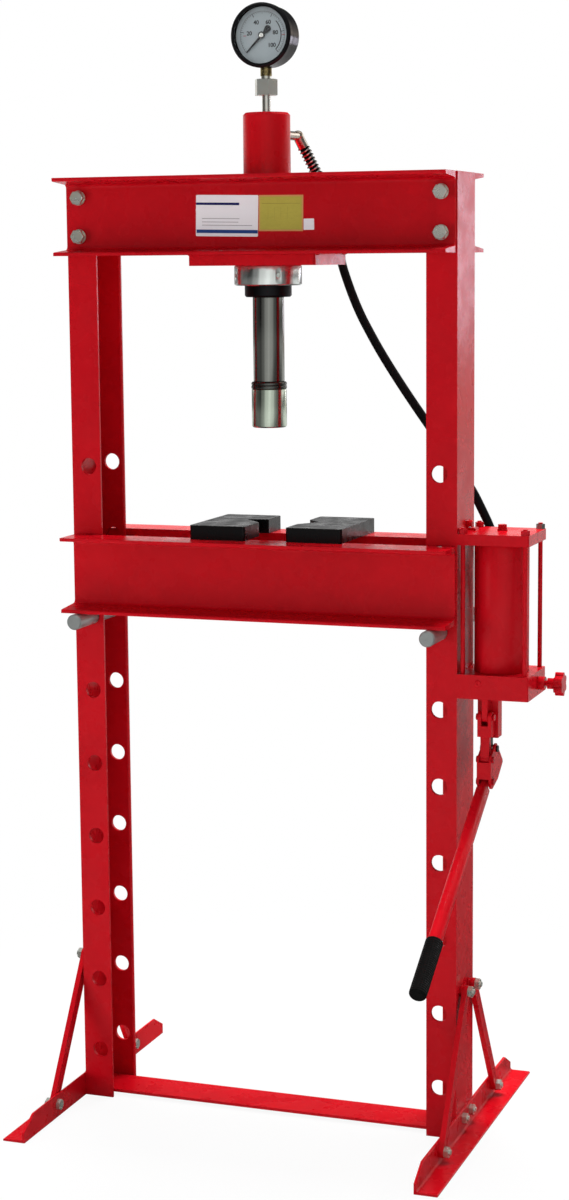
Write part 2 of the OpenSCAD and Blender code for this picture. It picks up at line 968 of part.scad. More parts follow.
module pin_right() {
    color("silver") translate([hole_x, 0, 0]) pin_shape();
}

// A plate with a V notch cut into its +X side, notch given as [start, apex, end]
module arbor_shape(notch, deep) {
    c = 3;
    translate([0, 0, bed_top])
        linear_extrude(arbor_t)
            polygon([
                [c, 0], [arbor_w - c, 0], [arbor_w, c], [arbor_w, notch[0]],
                [arbor_w - deep, notch[1]], [arbor_w, notch[2]], [arbor_w, arbor_len - c],
                [arbor_w - c, arbor_len], [c, arbor_len], [0, arbor_len - c], [0, c]
            ]);
}

module arbor_plate_left() {
    color("dimgray")
        translate([-20 - arbor_w, -72, 0])
            arbor_shape([70, 112, 118], notch_left);
}

module arbor_plate_right() {
    color("dimgray")
        translate([50 + arbor_w, -66, 0])
            mirror([1, 0, 0])
                arbor_shape([58, 94, 124], notch_right);
}

// ---- pump ----

// Puts a copy at each mounting bolt of the pump, +Z pointing away from the post
module at_pump_bolts(x) {
    for (z = [pump_z + pump_base_h / 2, pump_top_z + pump_top_t / 2], s = [-1, 1])
        translate([x, s * pump_bolt_pitch / 2, z])
            rotate([0, 90, 0])
                children();
}

// Bolts that run from inside the post into the base block and the top plate
module pump_bolts() {
    color("silver")
        at_pump_bolts(post_in)
            bolt(pump_bolt_d, post_web + 12);
}

// Hole in a pump block for the end of a mounting bolt
module pump_bolt_holes() {
    at_pump_bolts(post_x - e)
        cylinder(d = pump_bolt_d + 2 * run_gap, h = 14 + e);
}

// Lug that stands on the top plate against the post
module pump_lug() {
    z = pump_top_z + pump_top_t;
    color("crimson")
        difference() {
            union() {
                translate([post_x, 2, z])
                    cube([4, 20, 16]);
                translate([post_x, 2, z])
                    cube([16, 20, 4]);
                translate([0, 12, z + 11])
                    rod_x(11, post_x + 4, post_x + 9);
            }
            translate([0, 12, z + 11])
                rod_x(5, post_x + 6, post_x + 10);
        }
}

module pump_base() {
    c = 2;
    color("crimson")
        difference() {
            translate([post_x, pump_y0, pump_z])
                linear_extrude(pump_base_h)
                    polygon([[0, 0], [pump_w - c, 0], [pump_w, c], [pump_w, pump_d - c],
                             [pump_w - c, pump_d], [0, pump_d]]);
            pump_bolt_holes();
            translate([0, valve_y, valve_z])
                rod_x(9, valve_x - 14, valve_x + e);
            translate([lev_x, rod_pin[0], pump_z - e])
                cylinder(d = plunger_d + 2 * run_gap, h = 27 + e);
        }
}

module reservoir() {
    color("crimson")
        translate([res_x, res_y, pump_base_top])
            ring(reservoir_d, reservoir_d - 8, reservoir_h);
}

module pump_top() {
    c = 2;
    color("crimson")
        difference() {
            translate([post_x, pump_y0, pump_top_z])
                linear_extrude(pump_top_t)
                    polygon([[0, 0], [pump_w - c, 0], [pump_w, c], [pump_w, pump_d - c],
                             [pump_w - c, pump_d], [0, pump_d]]);
            pump_bolt_holes();
            at_ties(pump_top_z - e)
                cylinder(d = tie_d + 2 * run_gap, h = pump_top_t + 2 * e);
        }
}

// Puts a copy at each tie rod
module at_ties(z) {
    for (sx = [-1, 1], sy = [-1, 1])
        translate([res_x + sx * tie_dx, res_y + sy * tie_dy, z])
            children();
}

module tie_rods() {
    color("crimson")
        at_ties(pump_base_top)
            cylinder(d = tie_d, h = reservoir_h + pump_top_t + tie_nut_h + 2);
}

module tie_nuts() {
    color("crimson")
        at_ties(pump_top_z + pump_top_t)
            plain_nut(tie_d, tie_nut_af, tie_nut_h);
}

module filler_plug() {
    z = pump_top_z + pump_top_t;
    color("crimson")
        translate([res_x - 2.5, res_y + 12, z]) {
            hexagon(13, 10);
            cylinder(d = 17, h = 2.5);
        }
}

// Cylinder block of the pump under the base, with the fixed lug on its front
module pump_body() {
    color("crimson")
        difference() {
            union() {
                translate([lev_x - body_w / 2, body_y0, body_z])
                    cube([body_w, body_d, body_h]);
                translate([lev_x - lug_t / 2, lug_pin[0] - 8, lug_pin[1]])
                    cube([lug_t, body_y0 - lug_pin[0] + 9, pump_z - lug_pin[1]]);
                translate([0, lug_pin[0], lug_pin[1]])
                    rod_x(16, lev_x - lug_t / 2, lev_x + lug_t / 2);
            }
            translate([lev_x, rod_pin[0], body_z - e])
                cylinder(d = plunger_d + 2 * run_gap, h = body_h + 2 * e);
            translate([0, lug_pin[0], lug_pin[1]])
                rod_x(lever_pin_d + 2 * run_gap, lev_x - lug_t, lev_x + lug_t);
        }
}

module plunger() {
    color("silver")
        difference() {
            union() {
                translate([lev_x, rod_pin[0], rod_pin[1]])
                    cylinder(d = plunger_d, h = pump_z + 20 - rod_pin[1]);
                translate([0, rod_pin[0], rod_pin[1]])
                    rod_x(plunger_d + 1, lev_x - stem_w / 2, lev_x + stem_w / 2);
            }
            translate([0, rod_pin[0], rod_pin[1]])
                rod_x(lever_pin_d + 2 * run_gap, lev_x - lever_w, lev_x + lever_w);
        }
}

// Pin through the fixed lug, with a head at each end
module fulcrum_pin() {
    half = lever_w / 2 + 0.5;
    color("crimson")
        translate([0, lug_pin[0], lug_pin[1]]) {
            rod_x(lever_pin_d, lev_x - half - 1, lev_x + half + 1);
            rod_x(lever_pin_d + 4, lev_x - half - 3, lev_x - half);
            rod_x(lever_pin_d + 4, lev_x + half, lev_x + half + 3);
        }
}

// Link that hangs from the fixed lug in a fork and carries the lever at its foot
module fulcrum_link() {
    fork_in = lug_t + 2 * arm_gap;
    fork_bottom = lug_pin[1] - 14;
    eye_d = lever_pin_d + 2 * run_gap + 0.6;
    color("crimson")
        difference() {
            union() {
                translate([lev_x - lever_w / 2, lug_pin[0] - 9, fork_bottom - 18])
                    cube([lever_w, 18 + link_slot, lug_pin[1] - fork_bottom + 18]);
                for (dy = [0, link_slot])
                    translate([0, lug_pin[0] + dy, lug_pin[1]])
                        rod_x(18, lev_x - lever_w / 2, lev_x + lever_w / 2);
                translate([lev_x - lever_w / 2, lug_pin[0], lug_pin[1]])
                    cube([lever_w, link_slot, 9]);
                translate([lev_x - stem_w / 2, link_pin[0] - 6, link_pin[1]])
                    cube([stem_w, 12, fork_bottom - 12 - link_pin[1]]);
                translate([0, link_pin[0], link_pin[1]])
                    rod_x(15, lev_x - stem_w / 2, lev_x + stem_w / 2);
            }
            translate([lev_x - fork_in / 2, lug_pin[0] - 20, fork_bottom])
                cube([fork_in, 50, 60]);
            for (dy = [0, link_slot])
                translate([0, lug_pin[0] + dy, lug_pin[1]])
                    rod_x(eye_d, lev_x - lever_w, lev_x + lever_w);
            translate([lev_x - lever_w, lug_pin[0], lug_pin[1] - eye_d / 2])
                cube([2 * lever_w, link_slot, eye_d]);
            translate([0, link_pin[0], link_pin[1]])
                rod_x(lever_pin_d + 2 * run_gap, lev_x - lever_w, lev_x + lever_w);
        }
}

// Pressed lever: a front web with two cheeks that run back past the plunger
module lever() {
    front = link_pin[0] - 12;
    web_low = handle_pin[1] + 5.5;
    web_high = link_pin[1] - 3;
    color("crimson")
        difference() {
            translate([lev_x - lever_w / 2, 0, 0])
                rotate([90, 0, 90])
                    linear_extrude(lever_w)
                        polygon(concat(
                            arc(handle_pin[0], handle_pin[1], 12, 180, 290, 5),
                            [[rod_pin[0] + 11, handle_pin[1] - 2], [rod_pin[0] + 42, rod_pin[1] - 31],
                             [rod_pin[0] + 41, rod_pin[1] - 26]],
                            arc(rod_pin[0], rod_pin[1], 9, 30, 110, 5),
                            arc(link_pin[0], link_pin[1], 9, 100, 150, 3),
                            [[front, web_high], [front, handle_pin[1]]]
                        ));
            translate([lev_x - inside_w / 2, front + lever_t - 1, handle_pin[1] - 30])
                cube([inside_w, 120, 120]);
            translate([lev_x - inside_w / 2, front - e, handle_pin[1] - 30])
                cube([inside_w, 20, web_low - handle_pin[1] + 30]);
            translate([lev_x - inside_w / 2, front - e, web_high])
                cube([inside_w, 20, 60]);
            for (p = [link_pin, rod_pin, handle_pin])
                translate([0, p[0], p[1]])
                    rod_x(lever_pin_d + 2 * run_gap, lev_x - lever_w, lev_x + lever_w);
        }
}

// Pins at the link and the plunger, and the handle's cross bolt, each with two heads
module lever_pins() {
    half = lever_w / 2;
    color("silver")
        for (p = [link_pin, rod_pin, handle_pin])
            translate([0, p[0], p[1]]) {
                rod_x(lever_pin_d, lev_x - half - 2.5, lev_x + half + 2.5);
                rod_x(lever_pin_d + 4, lev_x - half - 3, lev_x - half);
                rod_x(lever_pin_d + 4, lev_x + half, lev_x + half + 3);
            }
}

// Puts a copy on the handle's line, with +Z running from its bolt to the grip
module on_handle(s) {
    translate([lev_x, handle_pin[0], handle_pin[1]])
        rotate([90 + handle_fall, 0, 0])
            translate([0, 0, s])
                children();
}

tube_d = min(handle_d, inside_w - 1);

module handle_tube() {
    color("crimson")
        difference() {
            union() {
                on_handle(-10)
                    cylinder(d = tube_d, h = 40);
                on_handle(20)
                    cylinder(d = handle_d, h = handle_len - 20 - 6);
            }
            on_handle(24)
                cylinder(d = handle_d - 5, h = handle_len);
            translate([0, handle_pin[0], handle_pin[1]])
                rod_x(lever_pin_d + 2 * run_gap, lev_x - lever_w, lev_x + lever_w);
        }
}

module handle_grip() {
    r = grip_d / 2;
    color("black")
        on_handle(handle_len - grip_len)
            rotate_extrude()
                polygon(concat(
                    [[handle_d / 2 + run_gap, 0], [r - 1, 0], [r, 1]],
                    arc(r - 6, grip_len - 6, 6, 0, 90, 5),
                    [[0, grip_len], [0, grip_len - 5.5], [handle_d / 2 + run_gap, grip_len - 5.5]]
                ));
}

// ---- release valve ----

module valve_gland() {
    color("crimson")
        translate([0, valve_y, valve_z])
            difference() {
                rod_x(valve_gland_d, valve_x, valve_x + 12);
                rod_x(9, valve_x - e, valve_x + 12 + e);
            }
}

module valve_knob() {
    color("crimson")
        translate([0, valve_y, valve_z])
            union() {
                rod_x(8.4, valve_x - 12, valve_x + 31);
                rod_x(18, valve_x + 16, valve_x + 30);
                for (i = [0:knob_lobes - 1])
                    rotate([i * 360 / knob_lobes, 0, 0])
                        translate([0, 0, knob_d * 0.36])
                            rod_x(knob_d * 0.28, valve_x + 29, valve_x + 43);
                rod_x(knob_d * 0.78, valve_x + 29, valve_x + 43);
            }
}

left_post();
right_post();
head_beam_front();
head_beam_rear();
head_bolts();
head_washers();
head_nuts();
bottom_rail();
foot_left();
foot_right();
braces_left();
braces_right();
brace_spacers();
base_bolts();
base_nuts();
cylinder_plate();
cylinder_barrel();
ring_nut();
gland();
ram_rod();
piston();
piston_seal();
ram_collar();
ram_nose();
gauge_case();
gauge_bezel();
gauge_glass();
gauge_dial();
gauge_needle();
gauge_nut();
gauge_tube();
hose_elbow();
hose_guard();
hose();
hose_tail();
bed_beam_front();
bed_beam_rear();
bed_spacers();
pin_left();
pin_right();
arbor_plate_left();
arbor_plate_right();
pump_base();
reservoir();
pump_top();
pump_bolts();
pump_lug();
tie_rods();
tie_nuts();
filler_plug();
pump_body();
plunger();
fulcrum_pin();
fulcrum_link();
lever();
lever_pins();
handle_tube();
handle_grip();
valve_gland();
valve_knob();
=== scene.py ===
import json
import math

import bpy
from mathutils import Matrix, Vector


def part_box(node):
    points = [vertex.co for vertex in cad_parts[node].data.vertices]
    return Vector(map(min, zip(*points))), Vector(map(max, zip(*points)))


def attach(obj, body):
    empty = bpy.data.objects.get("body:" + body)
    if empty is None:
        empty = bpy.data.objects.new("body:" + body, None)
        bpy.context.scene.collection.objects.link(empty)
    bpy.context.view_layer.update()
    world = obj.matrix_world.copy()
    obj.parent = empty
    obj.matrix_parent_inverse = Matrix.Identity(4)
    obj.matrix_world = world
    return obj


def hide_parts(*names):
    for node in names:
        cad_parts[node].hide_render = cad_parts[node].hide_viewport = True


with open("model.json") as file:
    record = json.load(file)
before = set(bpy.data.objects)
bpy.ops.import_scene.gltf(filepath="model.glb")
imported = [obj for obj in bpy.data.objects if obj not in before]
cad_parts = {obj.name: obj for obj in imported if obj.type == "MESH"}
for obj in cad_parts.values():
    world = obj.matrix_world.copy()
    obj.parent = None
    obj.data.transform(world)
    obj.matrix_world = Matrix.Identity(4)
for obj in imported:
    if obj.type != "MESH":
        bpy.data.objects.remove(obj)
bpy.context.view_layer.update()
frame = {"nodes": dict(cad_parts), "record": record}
NODES = frame["nodes"]
scene = bpy.context.scene
MM = 0.001

# ---------------------------------------------------------------- camera
# Fitted to the photo: where it stands in metres, and how it is turned
CAM_AT = (1.3569, -3.6886, 1.4642)
YAW, PITCH, ROLL = math.radians(19.87), math.radians(-8.27), math.radians(0.51)
LENS, SENSOR, CLIP_END = 46.93, 24, 60

fwd = Vector((-math.sin(YAW) * math.cos(PITCH), math.cos(YAW) * math.cos(PITCH), math.sin(PITCH)))
level_right = Vector((math.cos(YAW), math.sin(YAW), 0))
level_up = level_right.cross(fwd)
right = level_right * math.cos(ROLL) - level_up * math.sin(ROLL)
up = level_right * math.sin(ROLL) + level_up * math.cos(ROLL)
cam_data = bpy.data.cameras.new("camera")
cam = bpy.data.objects.new("camera", cam_data)
scene.collection.objects.link(cam)
cam.matrix_world = Matrix((
    (right.x, up.x, -fwd.x, CAM_AT[0]),
    (right.y, up.y, -fwd.y, CAM_AT[1]),
    (right.z, up.z, -fwd.z, CAM_AT[2]),
    (0, 0, 0, 1),
))
cam_data.sensor_fit = "VERTICAL"
cam_data.sensor_height = SENSOR
cam_data.lens = LENS
cam_data.clip_end = CLIP_END
scene.camera = cam
scene.view_settings.view_transform = "Standard"


# ---------------------------------------------------------------- node helpers
class Tree:
    """Small helper round a node tree, emptied first. Values are numbers, tuples or sockets."""

    def __init__(self, node_tree):
        self.nt = node_tree
        self.nt.nodes.clear()

    def add(self, kind, **props):
        node = self.nt.nodes.new(kind)
        for key, value in props.items():
            setattr(node, key, value)
        return node

    def link(self, a, b):
        self.nt.links.new(a, b)

    def put(self, node, key, value):
        socket = node.inputs[key]
        if isinstance(value, bpy.types.NodeSocket):
            self.link(value, socket)
        else:
            socket.default_value = value

    def math(self, op, a, b=0.0):
        node = self.add("ShaderNodeMath", operation=op)
        self.put(node, 0, a)
        self.put(node, 1, b)
        return node.outputs[0]

    def plus(self, a, b):
        return self.math("ADD", a, b)

    def times(self, a, b):
        return self.math("MULTIPLY", a, b)

    def greater(self, a, b):
        """The greater of the two values."""
        return self.math("MAXIMUM", a, b)

    def ramp(self, fac, a, b, lo, hi, kind="LINEAR"):
        """Maps fac from a..b to lo..hi, clamped."""
        node = self.add("ShaderNodeMapRange", interpolation_type=kind)
        self.put(node, 0, fac)
        for i, value in enumerate((a, b, lo, hi), 1):
            node.inputs[i].default_value = value
        return node.outputs[0]

    def ease(self, fac, a, b, lo, hi):
        """The same as ramp, with soft ends."""
        return self.ramp(fac, a, b, lo, hi, "SMOOTHSTEP")

    def mix(self, fac, a, b):
        """Colour a where fac is 0, colour b where it is 1."""
        node = self.add("ShaderNodeMix", data_type="RGBA")
        self.put(node, 0, fac)
        for key, value in ((6, a), (7, b)):
            if isinstance(value, bpy.types.NodeSocket):
                self.link(value, node.inputs[key])
            else:
                node.inputs[key].default_value = (*value, 1)
        return node.outputs[2]

    def vector_math(self, op, *values):
        node = self.add("ShaderNodeVectorMath", operation=op)
        for i, value in enumerate(values):
            self.put(node, i, value)
        return node.outputs["Value"]

    def axes(self, vector):
        """A vector's X, Y and Z sockets, by name."""
        node = self.add("ShaderNodeSeparateXYZ")
        self.link(vector, node.inputs[0])
        return node.outputs


class Net(Tree):
    """A new material with a Principled shader, laid out in the object's own space."""

    def __init__(self, name):
        self.mat = bpy.data.materials.new(name)
        self.mat.use_nodes = True
        super().__init__(self.mat.node_tree)
        self.bsdf = self.add("ShaderNodeBsdfPrincipled")
        self.link(self.bsdf.outputs[0], self.add("ShaderNodeOutputMaterial").inputs[0])
        self.coord = self.add("ShaderNodeTexCoord").outputs["Object"]

    def set(self, **sockets):
        for key, value in sockets.items():
            self.put(self.bsdf, key.replace("_", " "), value)

    def noise(self, scale, detail=3, rough=0.5, stretch=None):
        src = self.coord
        if stretch:
            mapping = self.add("ShaderNodeMapping")
            mapping.inputs["Scale"].default_value = stretch
            self.link(src, mapping.inputs["Vector"])
            src = mapping.outputs[0]
        node = self.add("ShaderNodeTexNoise")
        self.link(src, node.inputs["Vector"])
        node.inputs["Scale"].default_value = scale
        node.inputs["Detail"].default_value = detail
        node.inputs["Roughness"].default_value = rough
        return node.outputs["Fac"]

    def uneven(self, scale, detail, lo, hi):
        """Drifts between lo and hi with a noise."""
        return self.ramp(self.noise(scale, detail), 0.3, 0.7, lo, hi)

    def bump(self, height, strength, distance, normal=None):
        node = self.add("ShaderNodeBump")
        node.inputs["Strength"].default_value = strength
        node.inputs["Distance"].default_value = distance
        self.link(height, node.inputs["Height"])
        if normal is not None:
            self.link(normal, node.inputs["Normal"])
        return node.outputs[0]

    def edge(self, radius):
        """1 near a sharp edge, 0 on flat faces, from a rounded normal."""
        bevel = self.add("ShaderNodeBevel", samples=4)
        bevel.inputs["Radius"].default_value = radius
        normal = self.add("ShaderNodeNewGeometry").outputs["Normal"]
        likeness = self.vector_math("DOT_PRODUCT", bevel.outputs[0], normal)
        return self.ramp(likeness, 0.97, 0.75, 0.0, 1.0)


def lin_channel(c):
    return c / 12.92 if c <= 0.04045 else ((c + 0.055) / 1.055) ** 2.4


def lin(r, g, b):
    """sRGB 0-255 to linear."""
    return tuple(lin_channel(c / 255) for c in (r, g, b))


def shade(colour, factor, lift=0.0):
    return tuple(min(1, c * factor + lift) for c in colour)


# ---------------------------------------------------------------- materials
def enamel(name, rgb):
    """Gloss paint with faint clouds, specks and orange peel."""
    m = Net(name)
    base = lin(*rgb)
    broad = m.noise(7, 4, 0.6)
    fine = m.noise(60, 3)
    speck = m.noise(900, 2)
    col = m.mix(m.ramp(broad, 0.35, 0.65, 0, 1), shade(base, 0.86), base)
    col = m.mix(m.ramp(fine, 0.55, 0.75, 0, 0.35), col, shade(base, 1.1, 0.004))
    col = m.mix(m.ramp(speck, 0.72, 0.78, 0, 0.25), col, shade(base, 0.6))
    m.set(Base_Color=col, Metallic=0.0, IOR=1.5)
    m.set(Roughness=m.uneven(24, 4, 0.22, 0.34))
    m.set(Specular_IOR_Level=0.11, Coat_Weight=0.06, Coat_Roughness=0.06)
    peel = m.noise(420, 2)
    lump = m.noise(45, 2)
    m.set(Normal=m.bump(peel, 0.06, 0.0006, m.bump(lump, 0.08, 0.0015)))
    return m.mat


def metal(name, rgb, rough, scale, stretch=None, bump=0.08, tint=None, spots=0.0, metallic=1.0):
    """Bare metal with a grain of this scale; tint is a second colour in patches, spots are dark."""
    m = Net(name)
    base = lin(*rgb)
    col = m.mix(m.noise(14, 4), shade(base, 0.85), base)
    if tint:
        col = m.mix(m.ramp(m.noise(38, 3), 0.45, 0.65, 0, 0.5), col, lin(*tint))
    if spots:
        col = m.mix(m.ramp(m.noise(320, 3), 0.62, 0.7, 0, spots), col, shade(base, 0.4))
    m.set(Base_Color=col, Metallic=metallic)
    grain = m.noise(scale, 3, 0.6, stretch)
    m.set(Roughness=m.ramp(grain, 0.3, 0.7, *rough))
    m.set(Normal=m.bump(grain, bump, 0.0003))
    return m.mat


def rubber(name, rgb, rough=(0.4, 0.6), rib=None):
    """Dull rubber; rib is the axis and the pitch of shallow rings."""
    m = Net(name)
    base = lin(*rgb)
    m.set(Base_Color=m.mix(m.noise(30, 4), base, shade(base, 1.7, 0.002)))
    m.set(Specular_IOR_Level=0.06)
    m.set(Roughness=m.uneven(80, 3, *rough), Metallic=0.0)
    normal = m.bump(m.noise(700, 2), 0.2, 0.0004)
    if rib:
        axis, pitch = rib
        along = m.vector_math("DOT_PRODUCT", m.coord, axis)
        wave = m.math("SINE", m.times(along, 2 * math.pi / pitch))
        normal = m.bump(wave, 0.6, 0.0008, normal)
    m.set(Normal=normal)
    return m.mat


def plate_black(name):
    """Black paint worn to bare metal along the edges."""
    m = Net(name)
    base = lin(10, 11, 12)
    wear = m.ramp(m.plus(m.edge(0.0014), m.times(m.noise(90, 4), 0.5)), 0.85, 1.1, 0, 0.8)
    col = m.mix(m.noise(12, 4), shade(base, 0.7), base)
    col = m.mix(wear, col, lin(120, 118, 112))
    m.set(Base_Color=col, Metallic=m.times(wear, 0.8), Specular_IOR_Level=0.2)
    m.set(Roughness=m.uneven(40, 4, 0.22, 0.36))
    m.set(Normal=m.bump(m.noise(260, 3), 0.25, 0.0005))
    return m.mat


def gloss_black(name):
    m = Net(name)
    m.set(Base_Color=m.mix(m.noise(20, 3), lin(14, 14, 15), lin(24, 24, 26)))
    m.set(Roughness=m.uneven(60, 3, 0.12, 0.22), Metallic=0.0)
    m.set(Specular_IOR_Level=0.08, Coat_Weight=0.05, Coat_Roughness=0.05)
    m.set(Normal=m.bump(m.noise(300, 2), 0.08, 0.0004))
    return m.mat


def paper(name, rgb, var, rough, metallic=0.0, lines=None):
    """Print or card. With lines, a noise squeezed this much in height adds faint level lines."""
    m = Net(name)
    base = lin(*rgb)
    col = m.mix(m.noise(40, 3), shade(base, 1 - var), base)
    if lines:
        streak = m.noise(160, 2, 0.5, (1, 1, lines))
        col = m.mix(m.ramp(streak, 0.5, 0.62, 0, 0.35), col, shade(base, 0.72))
    m.set(Base_Color=col, Metallic=metallic)
    m.set(Roughness=m.uneven(120, 3, rough * 0.8, rough * 1.2), Specular_IOR_Level=0.2)
    m.set(Normal=m.bump(m.noise(900, 2), 0.06, 0.0003))
    return m.mat


def glass(name):
    """Clear glass with faint smears."""
    m = Net(name)
    m.set(Base_Color=(0.97, 0.985, 1.0, 1), Metallic=0.0, IOR=1.45)
    m.set(Transmission_Weight=1.0)
    m.set(Roughness=m.ramp(m.noise(26, 3), 0.45, 0.7, 0.01, 0.05))
    return m.mat


def two_finish(name, mask_of, painted, bare):
    """Enamel of the colour painted where the mask is 0, metal of the colour bare where it is 1."""
    m = Net(name)
    mask = mask_of(m, m.axes(m.coord))
    paint, steel = lin(*painted), lin(*bare)
    cloud = m.noise(30, 4)
    paint_col = m.mix(cloud, shade(paint, 0.86), paint)
    steel_col = m.mix(cloud, shade(steel, 0.8), steel)
    m.set(Base_Color=m.mix(mask, paint_col, steel_col), Metallic=mask, Specular_IOR_Level=0.2)
    m.set(Roughness=m.uneven(60, 3, 0.24, 0.38))
    m.set(Normal=m.bump(m.noise(300, 2), 0.1, 0.0004))
    return m.mat


def lever_pin_mask(m, axes):
    """Bare behind y -0.010, painted in front."""
    return m.math("GREATER_THAN", axes["Y"], -0.010)


def tie_nut_mask(m, axes):
    """Bare where x is over 0.40 and y over 0, painted elsewhere."""
    return m.times(m.math("GREATER_THAN", axes["X"], 0.40), m.math("GREATER_THAN", axes["Y"], 0.0))


def case_and_neck(name, neck_top):
    """Glossy black case with a dark brass neck under it."""
    m = Net(name)
    mask = m.ramp(m.axes(m.coord)["Z"], neck_top - 0.0003, neck_top + 0.0003, 1.0, 0.0)
    black = m.mix(m.noise(20, 3), lin(12, 12, 13), lin(20, 20, 22))
    brass = m.mix(m.ramp(m.noise(120, 4), 0.35, 0.65, 0, 1), lin(66, 54, 30), lin(168, 152, 104))
    m.set(Base_Color=m.mix(mask, black, brass), Metallic=m.times(mask, 0.9))
    m.set(Roughness=m.uneven(60, 3, 0.14, 0.26))
    m.set(Specular_IOR_Level=0.06, Coat_Weight=0.03, Coat_Roughness=0.05)
    m.set(Normal=m.bump(m.noise(300, 2), 0.08, 0.0004))
    return m.mat


HANDLE_FALL = math.radians(32)
HANDLE_AXIS = (0.0, -math.cos(HANDLE_FALL), -math.sin(HANDLE_FALL))
GRIP_PITCH = 0.004
NECK_TOP = 1.7735

RED = enamel("red_enamel", (190, 10, 24))
ZINC = metal("zinc_steel", (216, 220, 210), (0.22, 0.40), 90, tint=(204, 202, 180), bump=0.05, metallic=0.8)
POLISHED = metal("polished_steel", (144, 146, 140), (0.12, 0.2), 30, (1, 1, 10), 0.003)
NOSE = metal("bright_nose", (212, 224, 206), (0.16, 0.24), 30, (1, 1, 14), 0.002)
NUT = metal("ring_nut_steel", (240, 246, 242), (0.18, 0.26), 30, (1, 1, 14), 0.002)
COLLAR = metal("dark_collar", (96, 98, 94), (0.16, 0.28), 30, (1, 1, 14), 0.008)
BLACKED = metal("blackened_steel", (40, 40, 42), (0.35, 0.55), 50, (2, 2, 30), 0.2)
PIN = metal("pin_steel", (178, 182, 180), (0.34, 0.52), 30, (6, 1, 6), 0.15, spots=0.3, metallic=0.7)
NICKEL = metal("nickel", (226, 228, 220), (0.24, 0.38), 60, tint=(214, 208, 186), bump=0.03)
FITTING = metal("fitting_steel", (206, 196, 186), (0.16, 0.34), 70, tint=(188, 170, 140))
WIRE = metal("guard_wire", (206, 200, 196), (0.12, 0.28), 120)
PLATE = plate_black("plate_black")
HOSE = rubber("hose_rubber", (9, 9, 10), (0.4, 0.55))
GRIP = rubber("grip_rubber", (9, 9, 9), (0.42, 0.6), (HANDLE_AXIS, GRIP_PITCH))
SEAL = rubber("seal_rubber", (18, 18, 18))
BLACK = gloss_black("gauge_black")
DIAL = paper("gauge_face", (196, 206, 208), 0.05, 0.5)
INK = paper("dial_ink", (14, 16, 20), 0.2, 0.5)
INK_RED = paper("dial_red", (190, 50, 60), 0.1, 0.5)
LABEL = paper("label_white", (236, 236, 240), 0.03, 0.35)
LABEL_BLUE = paper("label_blue", (34, 66, 130), 0.1, 0.35)
LABEL_NAVY = paper("label_navy", (30, 34, 92), 0.1, 0.35)
LABEL_RULE = paper("label_rule", (150, 146, 152), 0.2, 0.4)
GOLD = paper("label_gold", (188, 178, 78), 0.14, 0.4, 0.1, lines=9)
GOLD_RIM = paper("label_gold_rim", (206, 150, 96), 0.10, 0.4)
GOLD_RULE = paper("label_gold_rule", (140, 126, 56), 0.10, 0.4)
GLASS = glass("gauge_glass")
LEVER_PINS = two_finish("lever_pin_finish", lever_pin_mask, (176, 12, 26), (52, 52, 54))
TIE_NUTS = two_finish("tie_nut_finish", tie_nut_mask, (186, 12, 28), (150, 150, 146))
GAUGE_CASE = case_and_neck("gauge_case_finish", NECK_TOP)

# The material of each slot, and of the pieces whose finish is not their slot's
LOOK = {
    "zinc_steel": ZINC, "polished_steel": POLISHED, "blackened_steel": BLACKED,
    "seal_rubber": SEAL, "pin_steel": PIN, "plate_black": PLATE, "gauge_black": BLACK,
    "gauge_face": DIAL, "gauge_glass": GLASS, "nickel": NICKEL, "hose_rubber": HOSE,
    "guard_wire": WIRE, "fitting_steel": FITTING, "grip_rubber": GRIP, "red_enamel": RED,
}
OWN = {
    "gauge_case": GAUGE_CASE, "ring_nut": NUT, "ram_nose": NOSE, "ram_collar": COLLAR,
    "lever_pins": LEVER_PINS, "tie_nuts": TIE_NUTS,
}
SLOT = {s["node"]: s["material_slot"] for s in frame["record"]["subparts"]}
for name, obj in NODES.items():
    mat = OWN.get(name, LOOK[SLOT[name]])
    if not obj.data.materials:
        obj.data.materials.append(mat)
    for s in obj.material_slots:
        s.material = mat

# Edges on the metal pieces are slightly rounded, as real ones are: widths in mm
ROUND = {"plate_black": 0.8, "red_enamel": 0.7, "zinc_steel": 0.25, "polished_steel": 0.3}
ROUND_BEAM = 1.2
NOT_ROUNDED = ("hose", "gauge_case")
SAME_POINT = 0.00001
SHARP = math.radians(40)
for name, obj in NODES.items():
    width = ROUND_BEAM if "_beam_" in name else ROUND.get(SLOT[name])
    if not width or name in NOT_ROUNDED:
        continue
    weld = obj.modifiers.new("weld", "WELD")
    weld.merge_threshold = SAME_POINT
    bev = obj.modifiers.new("bevel", "BEVEL")
    bev.width = width * MM
    bev.segments = 2
    bev.limit_method = "ANGLE"
    bev.angle_limit = SHARP
    bev.harden_normals = True


# ---------------------------------------------------------------- pieces
def piece(name, verts, faces, mat, body, smooth=True):
    me = bpy.data.meshes.new(name)
    me.from_pydata([tuple(v) for v in verts], [], faces)
    me.update()
    if smooth:
        for p in me.polygons:
            p.use_smooth = True
    ob = bpy.data.objects.new(name, me)
    scene.collection.objects.link(ob)
    me.materials.append(mat)
    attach(ob, body)
    return ob


def quads(rings, n, closed=False):
    """Faces between rings of n points each. When closed, the last ring meets the first."""
    faces = []
    for i in range(rings if closed else rings - 1):
        here, there = i * n, (i + 1) % rings * n
        for j in range(n):
            k = (j + 1) % n
            faces.append((here + j, here + k, there + k, there + j))
    return faces


def ends(rings, n):
    """The faces that close the first and the last ring."""
    return [tuple(range(n))[::-1], tuple(range((rings - 1) * n, rings * n))]


